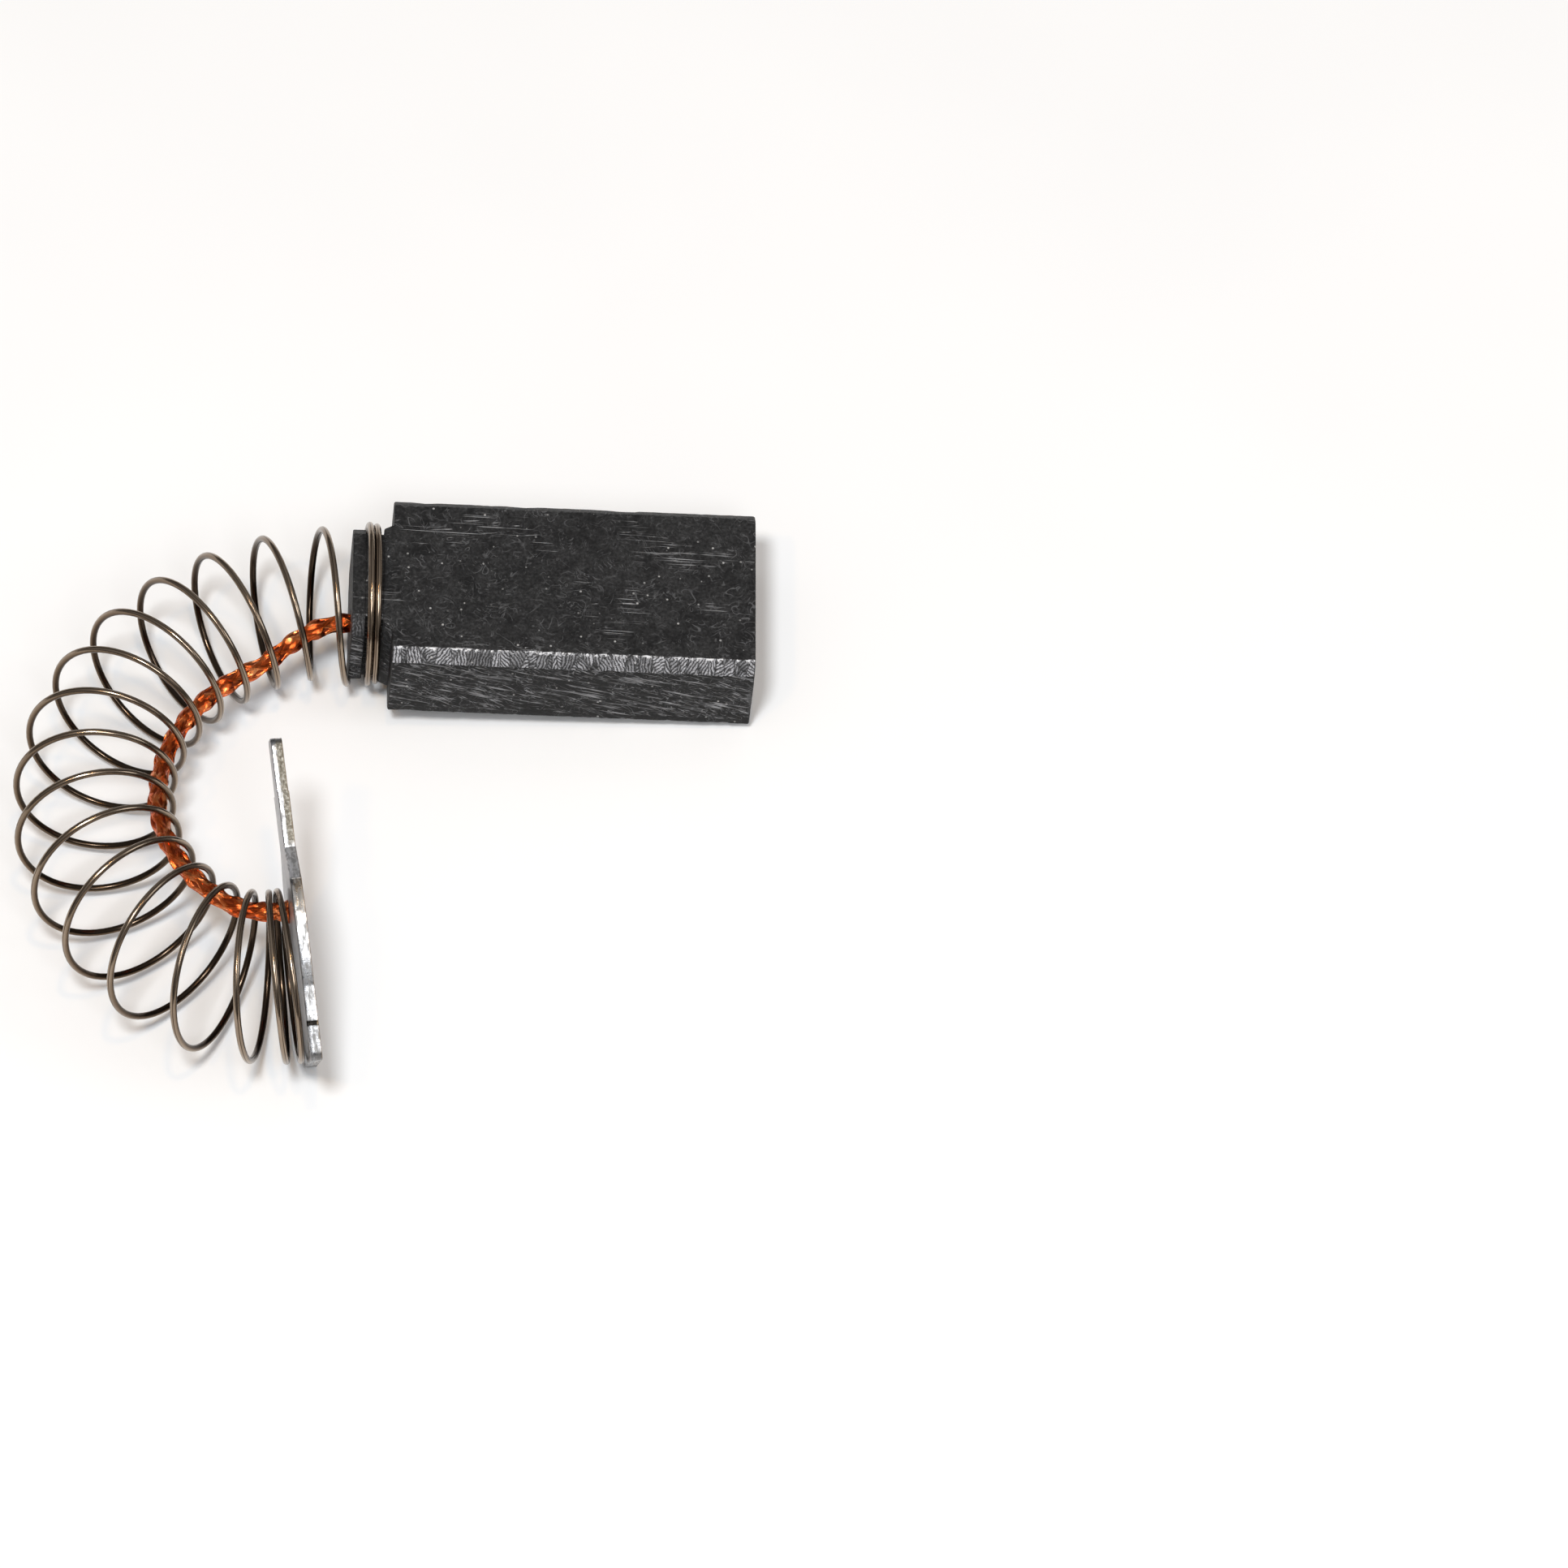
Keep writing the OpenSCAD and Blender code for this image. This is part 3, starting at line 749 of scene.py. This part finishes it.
def tail_piece():
    def section(width, chamfer=0.05, rounding=0.03):
        return width / 2, block_t / 2, chamfer, rounding, (4, 14, 4, 18)

    root, tip = section(boss_root_w), section(boss_tip_w)
    neck, head = section(neck_w, 0.08, 0.04), section(head_w, head_chamfer, 0.06)
    # one ring each: its place along x, its section, and how far it is drawn in
    spec = [(-block_l + 0.3, root, 0.12), (-block_l + 0.01, root, 0.12), (-block_l, root, 0.0)]
    for u in (0.25, 0.5, 0.75):
        half = boss_root_w / 2 + (boss_tip_w - boss_root_w) / 2 * u
        spec.append((-block_l - boss_l * u, section(half * 2), 0.0))
    spec += [(-boss_end + 0.03, tip, 0.0), (-boss_end, tip, 0.03), (-boss_end, neck, 0.0)]
    spec += [(x, neck, 0.0) for x in np.linspace(-boss_end - 0.15, -head_start + 0.05, 5)]
    spec += [(-head_start, neck, 0.0), (-head_start, head, 0.05), (-head_start - 0.05, head, 0.0)]
    spec += [(x, head, 0.0) for x in np.linspace(-head_start - 0.15, -head_end + 0.1, 4)]
    spec += [(-head_end + 0.05, head, 0.005), (-head_end + 0.015, head, 0.025),
             (-head_end, head, 0.06)]
    rings, nears = [], []
    for x, outline_there, shrink in spec:
        ring, near = ring_at(x, outline_there, shrink)
        rings.append(ring)
        nears.append(np.maximum(near * 0.5, math.exp(-(x + head_end) / 0.1)))
    n = len(rings[0])
    body = chipped(np.concatenate(rings), np.concatenate(nears),
                   low=0.5 - head_end, high=0, seed=31, depth=0.07)
    faces = loft(len(rings), n)
    # end face of the head, from its outline in to the bore, then down the bore
    edge = body[-n:]
    bore_centre = np.array([-bore_offset, 0.0])
    rim = bore_centre + unit(edge[:, 1:] - bore_centre) * bore_d / 2
    for share, depth in ((0.1, 0.0), (0.35, 0.0), (0.65, 0.0), (0.93, 0.0), (1.0, 0.03),
                         (1.0, 0.3), (1.0, 1.2)):
        yz = edge[:, 1:] + (rim - edge[:, 1:]) * share
        faces += band(len(body) - n, len(body), n)
        body = np.concatenate([body, np.column_stack([np.full(n, -head_end + depth), yz])])
    obj = new_mesh("graphite_tail", to_lying(body), faces)
    obj.data.set_sharp_from_angle(angle=SHARP)
    return obj


def plug_piece():
    """Lumpy ring of tamping compound round the braid, just inside the bore."""
    around, rings = 64, []
    radii = [0.50, 0.56, 0.62, 0.68, 0.74, 0.785, 0.79, 0.79]
    depths = [0.06, 0.03, 0.02, 0.03, 0.05, 0.09, 0.4, 1.1]
    lumps, lumpy_to = 0.025, 0.2
    a = np.arange(around) / around * 2 * math.pi
    for r, depth in zip(radii, depths):
        ring = np.column_stack([np.full(around, -head_end + depth),
                                -bore_offset + r * np.cos(a), r * np.sin(a)])
        if depth < lumpy_to:
            ring[:, 0] += lumps * lattice_noise(ring, 9.0, 51)
        rings.append(ring)
    return new_mesh("tamping_ring", to_lying(np.concatenate(rings)), loft(len(rings), around))


# ---------------------------------------------------------------- the spring
def spring_piece():
    steps, sides, end_share = 64, 16, 0.86      # the cut ends are slightly rounded
    p, spoke = wire_path(steps)
    tangent = unit(np.gradient(p, axis=0))
    side = unit(np.cross(tangent, spoke))
    out = np.cross(side, tangent)
    radius = np.full(len(p), wire_r)
    radius[[0, -1]] *= end_share
    verts, faces, uv = sweep(p, radius, sides, out, side)
    obj = new_mesh("spring_wire", verts, faces)
    add_uv(obj, uv)
    return obj


# ----------------------------------------------------------------- the braid
def braid_pieces():
    """Bundles of fine wires, four wound each way, passing over and under."""
    lay, bundles, wires, wire_half = 5.8, 4, 7, 0.047
    spread = 0.42               # half the angle that a bundle takes up
    weave_lift, droop, ripple = 0.048, 0.075, 0.010
    core_inset, core_sides, wire_sides, path_steps, steps = 0.15, 14, 5, 420, 520
    base_p, base_r = braid_path(path_steps)
    dist = run_length(base_p)
    s = np.linspace(0, dist[-1], steps)
    p = np.stack([np.interp(s, dist, base_p[:, k]) for k in range(3)], -1)
    outer = np.interp(s, dist, base_r)
    side, up = path_frames(p, (0, 0, 1))
    pieces = []
    for way, name in ((1, "shunt_strands_right"), (-1, "shunt_strands_left")):
        parts = []
        for k in range(bundles):
            start = k * math.pi / 2 + (0 if way > 0 else math.pi / 4)
            turn = way * 2 * math.pi * s / lay
            # a bundle meets one of the other way eight times a lay
            weave = way * np.cos(4 * (2 * math.pi * s / lay) + (way * start) * 4)
            lift = weave * weave_lift
            # each bundle wanders a little, out of step with the others
            wobble = 0.07 * np.sin(s * 1.7 + k * 2.1 + way) + 0.05 * np.sin(s * 0.6 + k)
            for w in range(wires):
                across = (w - (wires - 1) / 2) / ((wires - 1) / 2)
                angle = start + turn + wobble + across * spread
                r = outer - wire_half - weave_lift + lift - droop * across ** 2
                r = r + ripple * np.sin(s * 4.1 + w * 1.9 + k)
                q = p + r[:, None] * (np.cos(angle)[:, None] * side + np.sin(angle)[:, None] * up)
                frames = path_frames(q, side[0] + 0.3 * up[0])
                parts.append(sweep(q, wire_half, wire_sides, *frames))
        verts, faces, uv = join(parts)
        obj = new_mesh(name, verts, faces)
        add_uv(obj, uv)
        pieces.append(obj)
    verts, faces, uv = sweep(p, outer - core_inset, core_sides, side, up)
    core = new_mesh("shunt_core", verts, faces)
    add_uv(core, uv)
    return pieces, core


# ----------------------------------------------------------------- the plate
tip_x = plate_l - seat_axis
shoulder_x = seat_front + shoulder_l
foot_x = seat_front - seat_l        # where the bowed seat ends and the foot starts
nick_x = foot_x - nick_from


def plate_outline():
    """Corners of the plate (mm), anticlockwise, from its tip; the seat's axis is 0, 0."""
    root_x = shoulder_x + tongue_l

    def foot_half(x):
        share = (foot_x - x) / (foot_x + seat_axis)
        return (foot_root_w + (foot_end_w - foot_root_w) * share) / 2

    def corner(x, y, turn):
        angles = [(turn + d) * RAD for d in range(0, 91, 10)]
        return [(x + corner_r * math.cos(a), y + corner_r * math.sin(a)) for a in angles]

    side = corner(tip_x - corner_r, tip_w / 2 - corner_r, 0)
    side += [(root_x, tip_root_w / 2), (root_x, tongue_w / 2), (shoulder_x, tongue_w / 2)]
    side += [(seat_front + (foot_x - seat_front) * u, seat_w / 2 + seat_bow * 4 * u * (1 - u))
             for u in np.linspace(0, 1, 25)]
    side += [(foot_x, foot_half(foot_x)), (nick_x, foot_half(nick_x)),
             (nick_x, foot_half(nick_x) - nick_depth),
             (nick_x - nick_l, foot_half(nick_x) - nick_depth),
             (nick_x - nick_l, foot_half(nick_x - nick_l))]
    side += corner(corner_r - seat_axis, foot_end_w / 2 - corner_r, 90)
    return side + [(x, -y) for x, y in side[::-1]]


def resampled(points, step):
    """Closed outline with its corners kept and no stretch longer than step."""
    out = []
    for k, a in enumerate(points):
        b = points[(k + 1) % len(points)]
        length = math.dist(a, b)
        if length < 1e-6:
            continue
        n = max(1, math.ceil(length / step))
        for j in range(n):
            out.append((a[0] + (b[0] - a[0]) * j / n, a[1] + (b[1] - a[1]) * j / n))
    return np.array(out)


def plate_pieces():
    pts = resampled(plate_outline(), step=0.1)
    n, x = len(pts), pts[:, 0]
    normal = unit(np.roll(pts, -1, 0) - pts) + unit(pts - np.roll(pts, 1, 0))
    outwards = unit(np.column_stack([normal[:, 1], -normal[:, 0]]))
    dist = run_length(pts)
    # across the sheet, as (depth, inset): rolled-over edge, sheared half, torn
    # half, slight burr
    levels = [(0.0, -0.06), (0.012, -0.03), (0.035, -0.01), (0.07, 0.0), (0.2, 0.0), (0.26, 0.0),
              (0.30, -0.012), (0.40, -0.022), (0.50, -0.026), (0.575, -0.02), (plate_t, -0.03)]
    torn_from, burr_band, torn_depth, seat_share = 0.25, 0.01, 0.010, 0.15
    face_dir = along(spring_len)
    theta = end_angle * RAD
    across = np.array([math.sin(theta), -math.cos(theta), 0.0])
    upward = np.cross(face_dir, across)
    origin = centre(spring_len) + (plate_at - spring_len) * face_dir
    ct, st = math.cos(plate_tilt * RAD), math.sin(plate_tilt * RAD)

    def place(u, v, w):
        return (origin + np.outer(w, face_dir) + np.outer(ct * u - st * v, across)
                + np.outer(st * u + ct * v, upward))

    rings, uv = [], []
    for w, inset in levels:
        shift = np.full(n, inset)
        if torn_from < w < plate_t - burr_band:
            # roughest where the sheet tore, nearly flat round the seat
            rough = lattice_noise(np.column_stack([dist * 0.9, np.full(n, w * 2), np.zeros(n)]),
                                  9.0, int(60 + w * 100))
            tore = seat_share + (1 - seat_share) * smooth((x - shoulder_x + 0.2) / 0.4)
            shift = (inset + torn_depth * rough) * tore
        q = pts + outwards * shift[:, None]
        rings.append(place(q[:, 0], q[:, 1], np.full(n, w)))
        uv.append(np.column_stack([dist, np.full(n, w / plate_t)]))
    edge = new_mesh("plate_edge", np.concatenate(rings), loft(len(rings), n))
    add_uv(edge, np.concatenate(uv))

    # the narrow end tore, except at its very tip; the wide end sheared nearly clean
    torn = 0.12 + 0.88 * smooth((x - shoulder_x) / 0.4) * (1 - smooth((x - tip_x + 0.25) / 0.15))
    # tinning tone and painted highlight and shade along the edge, plain at 0.5: painted
    # # brightest on the shoulders, dull on the upper seat and at both ends
    tin_and_painted_light = np.interp(x, *zip(
        (0.25 - seat_axis, 0.26), (0.6 - seat_axis, 0.46), (foot_x, 0.46), (foot_x + 0.05, 0.45),
        (seat_front - 2.2, 0.40), (seat_front - 1.5, 0.14), (seat_front - 0.03, 0.08),
        (seat_front + 0.03, 0.95), (shoulder_x - 0.03, 0.95), (shoulder_x + 0.03, 0.5),
        (tip_x - 0.3, 0.5), (tip_x - 0.15, 0.24),
    ))
    # painted shade in the nicks
    nick_mid = nick_x - nick_l / 2
    nick_shade = 1 - smooth((np.abs(x - nick_mid) - nick_l * 0.5 - 0.02) / 0.06)
    for name, values in (("torn", torn), ("tin_and_painted_light", tin_and_painted_light), ("nick_shade", nick_shade)):
        layer = edge.data.attributes.new(name, "FLOAT", "POINT")
        layer.data.foreach_set("value", np.tile(values, len(rings)))
    edge.data.set_sharp_from_angle(angle=30 * RAD)
    flats = [new_mesh(name, ring, [tuple(order)], smooth_shade=False)
             for name, ring, order in (("plate_seat_face", rings[0], range(n - 1, -1, -1)),
                                       ("plate_back_face", rings[-1], range(n)))]
    return edge, flats


# ------------------------------------------------------------------ assembly
def face_outwards(obj):
    bpy.context.view_layer.objects.active = obj
    obj.select_set(True)
    bpy.ops.object.mode_set(mode="EDIT")
    bpy.ops.mesh.select_all(action="SELECT")
    bpy.ops.mesh.normals_make_consistent(inside=False)
    bpy.ops.object.mode_set(mode="OBJECT")
    obj.select_set(False)


def finish_piece(obj, mat, node, turn_faces=True):
    if turn_faces:
        face_outwards(obj)
    obj.data.materials.append(mat)
    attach(obj, "root")
    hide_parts(node)


carbon = graphite()
finish_piece(block_piece(), carbon, "carbon_block")
finish_piece(tail_piece(), carbon, "carbon_block")
finish_piece(plug_piece(), tamping(), "tamped_plug")
finish_piece(spring_piece(), spring_steel(), "spring")

strands, core = braid_pieces()
bright = copper("copper_strand", dark=(0.36, 0.042, 0.007), mid=(0.74, 0.140, 0.024),
                light=(0.96, 0.40, 0.15), rough=(0.12, 0.22))
# the core under the strands is a darker copper: painted shade between the strands
core_shade_copper = copper("copper_core_painted_shade", dark=(0.14, 0.020, 0.005), mid=(0.28, 0.045, 0.010),
              light=(0.38, 0.07, 0.017), rough=(0.4, 0.55))
for strand in strands:
    finish_piece(strand, bright, "shunt_braid", turn_faces=False)
finish_piece(core, core_shade_copper, "shunt_braid")

edge, flats = plate_pieces()
finish_piece(edge, tinned_edge(), "contact_plate")
sheet = tinned_sheet()
for flat in flats:
    finish_piece(flat, sheet, "contact_plate", turn_faces=False)

# --------------------------------------------------------------------- floor
FLOOR_REACH = 1200          # half its width, mm
floor = new_mesh("floor", [(x * FLOOR_REACH, y * FLOOR_REACH, floor_z)
                           for x, y in ((-1, -1), (1, -1), (1, 1), (-1, 1))],
                 [(0, 1, 2, 3)], smooth_shade=False)
pale = material("pale_floor")
faint = pale.noise(pale.coords(), 0.05, 2, 0.5)
floor.data.materials.append(pale.finish(Base_Color=pale.fade(faint, 0.3, 0.7, 0.95, 0.97),
                                        Roughness=0.9, Specular_IOR_Level=0.0))

# -------------------------------------------------------------------- camera
ELEVATION = 56.6 * RAD
FRAME_MM = 80.5             # width of the view at the object
LENS, SENSOR = 400.0, 36.0  # so long that the view is nearly parallel
TARGET = Vector((1.65, -10.14, 0.0)) * MM
back = Vector((0, -math.cos(ELEVATION), math.sin(ELEVATION)))
cam_data = bpy.data.cameras.new("camera")
cam_data.lens, cam_data.sensor_width = LENS, SENSOR
cam_data.clip_start, cam_data.clip_end = 0.01, 10
camera = bpy.data.objects.new("camera", cam_data)
bpy.context.scene.collection.objects.link(camera)
camera.location = TARGET + back * (FRAME_MM * LENS / SENSOR) * MM
camera.rotation_mode = "QUATERNION"
camera.rotation_quaternion = (-back).to_track_quat("-Z", "Y")
bpy.context.scene.camera = camera

# -------------------------------------------------------------------- lights
AIM = Vector((-18, -11, 0)) * MM


def area_light(name, azimuth, elevation, distance, size, watts, colour):
    """A round lamp that points at the object; azimuth 0 is in front, angles in
    degrees, distance and size in metres."""
    data = bpy.data.lights.new(name, "AREA")
    data.shape, data.size, data.energy, data.color = "DISK", size, watts, colour
    lamp = bpy.data.objects.new(name, data)
    a, e = azimuth * RAD, elevation * RAD
    off = Vector((math.sin(a) * math.cos(e), -math.cos(a) * math.cos(e), math.sin(e)))
    lamp.location = AIM + off * distance
    lamp.rotation_mode = "QUATERNION"
    lamp.rotation_quaternion = (-off).to_track_quat("-Z", "Y")
    bpy.context.scene.collection.objects.link(lamp)


area_light("key", -16, 68, 0.60, 0.10, 2.0, (0.93, 0.97, 1.0))
area_light("front_soft", 15, 53, 0.70, 0.20, 0.9, (0.97, 0.985, 1.0))
area_light("warm_top", 20, 80, 0.80, 0.04, 0.45, (1.0, 0.62, 0.24))
area_light("warm_side", -40, 62, 0.75, 0.04, 0.30, (1.0, 0.60, 0.22))
area_light("side_fill", 75, 35, 0.70, 0.30, 0.6, (0.92, 0.96, 1.0))

world = bpy.data.worlds.new("studio")
bpy.context.scene.world = world
sky = Tree(world, "Background")
upwards = sky.xyz(sky.add("TexCoord").outputs["Generated"])["Z"]
sky.finish(Strength=0.36, Color=sky.ramp(upwards, [(0.0, (0.42, 0.40, 0.39)),
                                                   (0.9, (0.98, 0.98, 1.0))]))

bpy.context.scene.view_settings.view_transform = "Standard"

bpy.context.view_layer.update()
